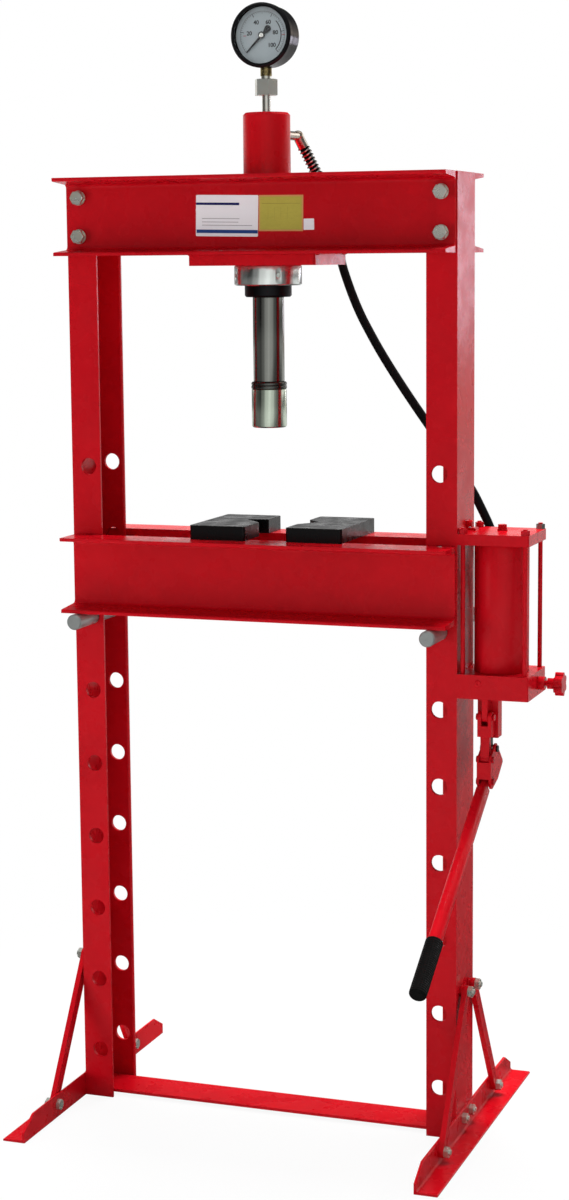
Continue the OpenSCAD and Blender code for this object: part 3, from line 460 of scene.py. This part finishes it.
def smooth_path(pts, step):
    """Catmull-Rom through pts, resampled roughly every step metres."""
    P = [Vector(p) for p in pts]
    P = [P[0] * 2 - P[1]] + P + [P[-1] * 2 - P[-2]]
    out = []
    for i in range(1, len(P) - 2):
        a, b, c, d = P[i - 1], P[i], P[i + 1], P[i + 2]
        n = max(1, round((c - b).length / step))
        for k in range(n):
            t = k / n
            out.append(0.5 * (2 * b + (c - a) * t + (2 * a - 5 * b + 4 * c - d) * t * t
                              + (3 * b - a - 3 * c + d) * t ** 3))
    out.append(P[-2])
    return out


def frames(path):
    """Each point of a path with its tangent and two steady side vectors."""
    res = []
    side = None
    for i, p in enumerate(path):
        t = (path[min(i + 1, len(path) - 1)] - path[max(i - 1, 0)]).normalized()
        if side is None:
            side = t.orthogonal().normalized()
        side = (side - t * side.dot(t)).normalized()
        res.append((p, t, side, t.cross(side)))
    return res


def around(p, u, v, r, a):
    """The point at radius r and angle a round p, in the plane of u and v."""
    return p + u * (r * math.cos(a)) + v * (r * math.sin(a))


def tube(name, path, radius, sides, mat, body):
    """Closed tube along path. radius is a number or a function of the point's index."""
    verts = []
    for i, (p, _, u, v) in enumerate(frames(path)):
        r = radius(i) if callable(radius) else radius
        verts += [around(p, u, v, r, 2 * math.pi * j / sides) for j in range(sides)]
    faces = quads(len(path), sides) + ends(len(path), sides)
    return piece(name, verts, faces, mat, body)


def coil(path, radius, pitch):
    """The points of a coil wound round path."""
    out = []
    run = 0.0
    for i, (p, _, u, v) in enumerate(frames(path)):
        if i:
            run += (p - path[i - 1]).length
        out.append(around(p, u, v, radius, 2 * math.pi * run / pitch))
    return out


# ---------------------------------------------------------------- hose
# The hose's middle line in mm, from the cylinder's elbow down to the pump
ROUTE = [
    (26, 108, 1650), (36, 119, 1624), (46, 130, 1598), (56, 141, 1572), (63, 145, 1543),
    (69, 144, 1514), (76, 141, 1484), (84, 138, 1453), (95, 135, 1423), (107, 133, 1394),
    (120, 131, 1367), (135, 130, 1340), (151, 129, 1313), (168, 129, 1286), (187, 128, 1258),
    (206, 127, 1231), (226, 127, 1203), (246, 126, 1176), (266, 126, 1148), (285, 127, 1121),
    (302, 128, 1096), (318, 129, 1071), (332, 130, 1044), (345, 129, 1018), (356, 125, 991),
    (365, 119, 963), (371, 111, 935), (376, 102, 906), (379, 94, 876), (380, 89, 843),
    (380, 89, 808),
]
HOSE_R = 0.0075
COIL_R, COIL_PITCH, COIL_WIRE_R = 0.0089, 0.0068, 0.0015
COIL_POINTS = 4  # the guard covers the route as far as its fourth point

hose_path = smooth_path([Vector(p) * MM for p in ROUTE], 0.006)
hose = tube("pressure_hose", hose_path, HOSE_R, 28, HOSE, "frame")
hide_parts("hose")

guard_path = smooth_path([Vector(p) * MM for p in ROUTE[:COIL_POINTS]], 0.0006)
guard_wire = coil(guard_path, COIL_R, COIL_PITCH)
guard = tube("hose_spring", guard_wire, COIL_WIRE_R, 10, WIRE, "frame")
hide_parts("hose_guard")


# ---------------------------------------------------------------- labels on the head beam
WEB_Y = -0.058  # the front face of the front beam's web
CORNER_STEPS = 4


def plate(name, size, corner, centre, tilt, mat):
    """Thin rounded plate on the beam: size is width, height and thickness, centre its x and z."""
    w, h, t = size
    pts = []
    for cx, cz, a0 in ((1, 1, 0), (-1, 1, 90), (-1, -1, 180), (1, -1, 270)):
        for k in range(CORNER_STEPS + 1):
            a = math.radians(a0 + 90 * k / CORNER_STEPS)
            pts.append((cx * (w / 2 - corner) + corner * math.cos(a),
                        cz * (h / 2 - corner) + corner * math.sin(a)))
    c, s = math.cos(math.radians(tilt)), math.sin(math.radians(tilt))
    verts = []
    for inset, depth in ((0, 0), (0, t * 0.7), (t * 0.5, t)):
        k = 1 - inset / (w / 2)
        for x, z in pts:
            x2, z2 = x * k, z * k
            verts.append(Vector((centre[0] + x2 * c - z2 * s, WEB_Y - depth, centre[1] + x2 * s + z2 * c)))
    faces = quads(3, len(pts)) + ends(3, len(pts))
    return piece(name, verts, faces, mat, "frame", smooth=False)


# The white label, with its bands and rules measured down from its top edge
WHITE_TILT = -1.2
WHITE_TOP = 1.5685


def white_row(name, w, h, t, left, down, mat, corner=0.0004):
    plate(name, (w, h, t), corner, (left + w / 2, WHITE_TOP - down), WHITE_TILT, mat)


plate("label_white", (0.109, 0.067, 0.0003), 0.002, (-0.0495, 1.535), WHITE_TILT, LABEL)
white_row("label_band_top", 0.076, 0.0040, 0.00042, -0.1035, 0.0140, LABEL_NAVY)
white_row("label_band_low", 0.1075, 0.0056, 0.00042, -0.1033, 0.0590, LABEL_BLUE)
for k, (w, down) in enumerate(((0.066, 0.0380), (0.064, 0.0435), (0.088, 0.0490))):
    white_row("label_rule_%d" % k, w, 0.0009, 0.00040, -0.0935, down, LABEL_RULE, 0.0002)

# The gold label: a rim, its field, four upright rules and one across
GOLD_TILT = -0.6
GOLD_X, GOLD_Z = 0.0445, 1.538
plate("label_gold_rim", (0.077, 0.058, 0.0004), 0.001, (GOLD_X, GOLD_Z), GOLD_TILT, GOLD_RIM)
plate("label_gold", (0.072, 0.053, 0.0006), 0.001, (GOLD_X, GOLD_Z), GOLD_TILT, GOLD)
for k, x in enumerate((0.0225, 0.0335, 0.0445, 0.0560)):
    plate("label_gold_rule_%d" % k, (0.0006, 0.046, 0.0007), 0.0002, (x, GOLD_Z), GOLD_TILT, GOLD_RULE)
plate("label_gold_head", (0.066, 0.0006, 0.0007), 0.0002, (GOLD_X, 1.5535), GOLD_TILT, GOLD_RULE)

plate("label_small", (0.018, 0.018, 0.0003), 0.001, (0.0925, 1.5195), 0, LABEL)


# ---------------------------------------------------------------- gauge dial
GAUGE_Z = 1.825
DIAL_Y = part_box("gauge_dial")[0][1]
# Clock angles are degrees clockwise from the top; the scale starts low on the left
SCALE_START, SCALE_SWEEP = 225, 270
TICK_END = 0.0385
NUMBER_R, NUMBER_SIZE, NUMBER_BOLD, NUMBER_LIFT = 0.0230, 0.0092, 0.00025, 0.00008
TURN_STEPS = 40


def on_dial(r, clock):
    """The x and the height above the hub of a point on the dial."""
    a = math.radians(clock)
    return r * math.sin(a), r * math.cos(a)


def bar(r, half_length, half_width, clock):
    """A bar for dial_bars that lies along the radius, its middle at r."""
    return (*on_dial(r, clock), half_length, half_width, clock)


def dial_bars(name, bars, mat, lift=0.00015):
    """Flat raised bars on the dial: (centre x, centre z, half length, half width, clock angle)."""
    verts, faces = [], []
    for x, z, half_length, half_width, clock in bars:
        a = math.radians(clock)
        d = Vector((math.sin(a), math.cos(a)))
        n = Vector((d.y, -d.x))
        i = len(verts)
        for dy in (0, -lift):
            for p, q in ((-1, -1), (1, -1), (1, 1), (-1, 1)):
                v = Vector((x, z)) + d * half_length * p + n * half_width * q
                verts.append(Vector((v.x, DIAL_Y + dy, GAUGE_Z + v.y)))
        faces += [(i, i + 1, i + 2, i + 3), (i + 7, i + 6, i + 5, i + 4)]
        faces += [(i + k, i + 4 + k, i + 4 + (k + 1) % 4, i + (k + 1) % 4) for k in range(4)]
    return piece(name, verts, faces, mat, "frame", smooth=False)


# Fifty divisions, longer at each fifth and tenth, and a fine line round their outer ends
marks = []
for k in range(51):
    if k % 10 == 0:
        inner, half_width = 0.0325, 0.00045
    elif k % 5 == 0:
        inner, half_width = 0.0345, 0.00026
    else:
        inner, half_width = 0.0362, 0.00026
    clock = SCALE_START + SCALE_SWEEP / 50 * k
    marks.append(bar((inner + TICK_END) / 2, (TICK_END - inner) / 2, half_width, clock))
for k in range(90):
    marks.append(bar(0.0386, 0.00018, 0.00105, SCALE_START + SCALE_SWEEP / 90 * (k + 0.5)))
dial_bars("dial_marks", marks, INK)

# A heavier arc inside the marks on the right, and two red ticks
arc = [bar(0.0324, 0.0008, 0.00078, 48 + 2.6 * k) for k in range(34)]
dial_bars("dial_arc", arc, INK)
red_ticks = [bar(r, 0.0026, 0.0005, clock) for r, clock in ((0.0366, 90), (0.0306, 270))]
dial_bars("dial_red_tick", red_ticks, INK_RED, 0.0002)


def number(value):
    """One of the scale's numbers, as a mesh on the dial."""
    text = str(value)
    cu = bpy.data.curves.new("num_" + text, "FONT")
    cu.body = text
    cu.size = NUMBER_SIZE
    cu.offset = NUMBER_BOLD
    cu.align_x = "CENTER"
    cu.align_y = "CENTER"
    cu.extrude = NUMBER_LIFT
    ob = bpy.data.objects.new("dial_number_" + text, cu)
    scene.collection.objects.link(ob)
    x, z = on_dial(NUMBER_R, SCALE_START + SCALE_SWEEP / 100 * value)
    upright = Matrix.Rotation(math.radians(90), 4, "X")
    ob.matrix_world = Matrix.Translation((x, DIAL_Y - 0.0001, GAUGE_Z + z)) @ upright
    bpy.context.view_layer.update()
    me = bpy.data.meshes.new_from_object(ob.evaluated_get(bpy.context.evaluated_depsgraph_get()))
    me.transform(ob.matrix_world)
    bpy.data.objects.remove(ob)
    mesh = bpy.data.objects.new("dial_number_" + text, me)
    scene.collection.objects.link(mesh)
    me.materials.clear()
    me.materials.append(INK)
    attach(mesh, "frame")


for value in (20, 40, 60, 80, 100):
    number(value)


def turned(name, y0, profile, centre, mat, body):
    """Closed ring turned about Y: profile is (radius, y past y0), centre its x and z."""
    verts = []
    for i in range(TURN_STEPS):
        a = 2 * math.pi * i / TURN_STEPS
        for r, dy in profile:
            verts.append(Vector((centre[0] + r * math.sin(a), y0 + dy, centre[1] + r * math.cos(a))))
    return piece(name, verts, quads(TURN_STEPS, len(profile), closed=True), mat, body)


def needle_plate(name, outline, clock, y0, y1):
    """Flat plate on the needle from y0 to y1: outline is (along, across) from the hub, in mm."""
    a = math.radians(clock)
    along, across = Vector((math.sin(a), math.cos(a))), Vector((math.cos(a), -math.sin(a)))
    verts = []
    for y in (y0, y1):
        for p, q in outline:
            v = (along * p + across * q) * MM
            verts.append(Vector((v.x, y, GAUGE_Z + v.y)))
    n = len(outline)
    faces = [tuple(range(n)), tuple(range(n, 2 * n))[::-1]]
    faces += [(j, n + j, n + (j + 1) % n, (j + 1) % n) for j in range(n)]
    return piece(name, verts, faces, INK, "needle", smooth=False)


# The point, the hub and a broad tail, in mm from the hub
NEEDLE = [
    (38, 0.8), (5, 1.7), (0, 2.4), (-5, 1.8), (-14.5, 5.4), (-17.5, 4.6), (-19.3, 2.2), (-19.8, 0),
    (-19.3, -2.2), (-17.5, -4.6), (-14.5, -5.4), (-5, -1.8), (0, -2.4), (5, -1.7), (38, -0.8),
]
HUB_RING = [(0.0038, 0.0012), (0.0056, 0.0012), (0.0055, -0.0002), (0.0050, -0.0006), (0.0038, -0.0006)]
HUB_CAP = [(0.0002, 0.0010), (0.0040, 0.0010), (0.0040, -0.0004), (0.0034, -0.0009), (0.0002, -0.0010)]
HUB_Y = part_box("gauge_needle")[0][1]
BLADE_Y = DIAL_Y - 0.0020, DIAL_Y - 0.0036
needle_plate("needle_blade", NEEDLE, SCALE_START, *BLADE_Y)
turned("needle_hub_ring", HUB_Y, HUB_RING, (0, GAUGE_Z), INK, "needle")
turned("needle_hub_cap", HUB_Y, HUB_CAP, (0, GAUGE_Z), NICKEL, "needle")


# ---------------------------------------------------------------- weld beads
PLATE_X, PLATE_Y, PLATE_Z = 0.1105, (0.061, 0.078), 1.4735
RAIL_X, RAIL_Y, RAIL_Z = 0.3335, (-0.036, 0.036), 0.0106
PLATE_BEAD_R, RAIL_BEAD_R = 0.003, 0.0026
BEAD_STEP = 0.0009


def weld_bead(name, x, y, z, r):
    """A rippled bead of radius r, from the first to the second value of y."""
    a, b = Vector((x, y[0], z)), Vector((x, y[1], z))
    n = max(8, round((b - a).length / BEAD_STEP))
    path = [a.lerp(b, i / n) for i in range(n + 1)]

    def radius(i):
        taper = min(1, 0.35 + min(i, n - i) * 0.2)
        return r * taper * (1 + 0.13 * math.sin(i * 2.1) + 0.06 * math.sin(i * 0.7 + 1))
    return tube(name, path, radius, 12, RED, "frame")


for sx, hand in ((-1, "l"), (1, "r")):
    for sy, end in ((-1, "f"), (1, "b")):
        weld_bead("weld_plate_" + hand + end, sx * PLATE_X, [sy * y for y in PLATE_Y], PLATE_Z, PLATE_BEAD_R)
    weld_bead("weld_rail_" + hand, sx * RAIL_X, RAIL_Y, RAIL_Z, RAIL_BEAD_R)

# ---------------------------------------------------------------- plug in the pump's base block
PLUG_X, PLUG_Z = 0.375, 0.778
PLUG = [(0.0002, 0.001), (0.0058, 0.001), (0.0058, -0.0004), (0.0052, -0.0010), (0.0002, -0.0010)]
turned("base_plug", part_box("pump_base")[0][1], PLUG, (PLUG_X, PLUG_Z), RED, "frame")


# ---------------------------------------------------------------- stage
PANEL_TURN = math.radians(20)
PANEL_FADE = math.radians(40), math.radians(80)
FLOOR_HALF, FLOOR_Z = 14, -0.0005
FLOOR_GREY = 0.66
WHITE = (1, 1, 1)


def panels(t, x, y):
    """Brightness, towards x and y, of a soft panel 20 degrees right of the front.

    It is brightest at its middle, has slight ripples and fades at its sides.
    """
    turn = t.math("ARCTAN2", x, t.times(y, -1.0))
    aside = t.math("ABSOLUTE", t.math("SUBTRACT", turn, PANEL_TURN))
    wave = t.times(t.math("COSINE", t.times(aside, 3.0)), 0.38)
    ripple = t.times(t.math("COSINE", t.times(aside, 14.0)), 0.08)
    fade = t.ease(aside, *PANEL_FADE, 1.0, 0.2)
    return t.times(fade, t.plus(t.plus(wave, ripple), 0.47))


floor_me = bpy.data.meshes.new("floor")
corners = [(sx * FLOOR_HALF, sy * FLOOR_HALF, FLOOR_Z) for sx, sy in ((-1, -1), (1, -1), (1, 1), (-1, 1))]
floor_me.from_pydata(corners, [], [(0, 1, 2, 3)])
floor = bpy.data.objects.new("floor", floor_me)
scene.collection.objects.link(floor)
floor_mat = bpy.data.materials.new("floor")
floor_mat.use_nodes = True

# The camera sees a white floor with a faint shadow near the press. Reflections see the
# panel on the floor in front of the press, a dim floor beside it and a bright one behind.
t = Tree(floor_mat.node_tree)
place = t.add("ShaderNodeTexCoord").outputs["Object"]
at = t.axes(place)
ray = t.add("ShaderNodeLightPath").outputs
whiteness = t.ease(t.vector_math("LENGTH", place), 0.5, 1.25, 0.92, 1.0)
glowing = t.greater(t.times(ray["Is Camera Ray"], whiteness), ray["Is Glossy Ray"])
ahead = t.times(t.ease(at["Y"], -3.5, -1.2, 1.0, 0.0), panels(t, at["X"], at["Y"]))
mirrored = t.plus(t.ease(at["Y"], 1.0, 6.0, 0.12, 0.85), ahead)
matt = t.add("ShaderNodeBsdfDiffuse")
t.put(matt, 0, (FLOOR_GREY, FLOOR_GREY, FLOOR_GREY, 1))
glow = t.add("ShaderNodeEmission")
t.put(glow, 0, (*WHITE, 1))
t.put(glow, 1, t.greater(ray["Is Camera Ray"], mirrored))
blend = t.add("ShaderNodeMixShader")
for i, value in enumerate((glowing, matt.outputs[0], glow.outputs[0])):
    t.put(blend, i, value)
t.link(blend.outputs[0], t.add("ShaderNodeOutputMaterial").inputs[0])
floor_me.materials.append(floor_mat)

# ---------------------------------------------------------------- world
# The camera sees white, and so does the glass. Reflections see the panel in front, and behind the
# press a low band, a warm upright band on the right and light from above. The rest is a soft fill.
WARM = (1, 0.84, 0.74)
SOFT_FILL = 0.38
world = bpy.data.worlds.new("studio")
scene.world = world
world.use_nodes = True
t = Tree(world.node_tree)
to = t.axes(t.add("ShaderNodeTexCoord").outputs["Generated"])
ray = t.add("ShaderNodeLightPath").outputs
glossy = ray["Is Glossy Ray"]
plain = t.greater(ray["Is Camera Ray"], ray["Is Transmission Ray"])
front = t.times(t.ease(to["Y"], -0.2, 0.4, 1.0, 0.0), panels(t, to["X"], to["Y"]))
behind = t.ease(to["Y"], -0.2, 0.5, 0.0, 1.0)
above = t.ease(to["Z"], 0.55, 0.98, 0.0, 0.94)
low = t.times(t.ease(to["Z"], 0.04, 0.08, 0.15, 1.0), t.ease(to["Z"], 0.13, 0.22, 1.3, 0.02))
side = t.times(t.ease(to["X"], 0.12, 0.3, 0.0, 1.0), t.ease(to["X"], 0.45, 0.65, 1.0, 0.1))
back = t.times(behind, t.plus(above, t.greater(low, t.times(side, 0.7))))
shine = t.times(glossy, t.plus(front, back))
soft = t.times(t.math("SUBTRACT", 1.0, glossy), SOFT_FILL)
sky = t.add("ShaderNodeBackground")
t.put(sky, 0, t.mix(t.times(t.times(side, behind), glossy), WHITE, WARM))
t.put(sky, 1, t.greater(plain, t.plus(shine, soft)))
t.link(sky.outputs[0], t.add("ShaderNodeOutputWorld").inputs[0])


# ---------------------------------------------------------------- lights
def area(name, loc, target, size, power, colour=WHITE, glossy=True):
    """A rectangular light in watts, aimed at target. Reflections see it only when glossy."""
    ld = bpy.data.lights.new(name, "AREA")
    ld.shape = "RECTANGLE"
    ld.size, ld.size_y = size
    ld.energy = power
    ld.color = colour
    ob = bpy.data.objects.new(name, ld)
    scene.collection.objects.link(ob)
    ob.location = loc
    ob.rotation_euler = (Vector(target) - Vector(loc)).to_track_quat("-Z", "Y").to_euler()
    ob.visible_camera = False
    ob.visible_glossy = glossy


area("key", (-3.5, -3.0, 0.9), (0, 0, 0.55), (1.6, 1.6), 62, glossy=False)
area("fill", (1.9, -4.3, 1.6), (0, 0, 1.1), (0.4, 2.6), 15, glossy=False)
area("top", (0.0, 1.1, 6.4), (0, 0, 0.8), (3.4, 2.6), 820, glossy=False)
area("back", (2.4, 3.0, 3.0), (0, 0, 1.1), (1.6, 1.6), 14)
area("edge", (1.95, 5.0, 1.6), (0.34, 0, 1.3), (0.4, 0.9), 9, (0.86, 0.84, 1.0))
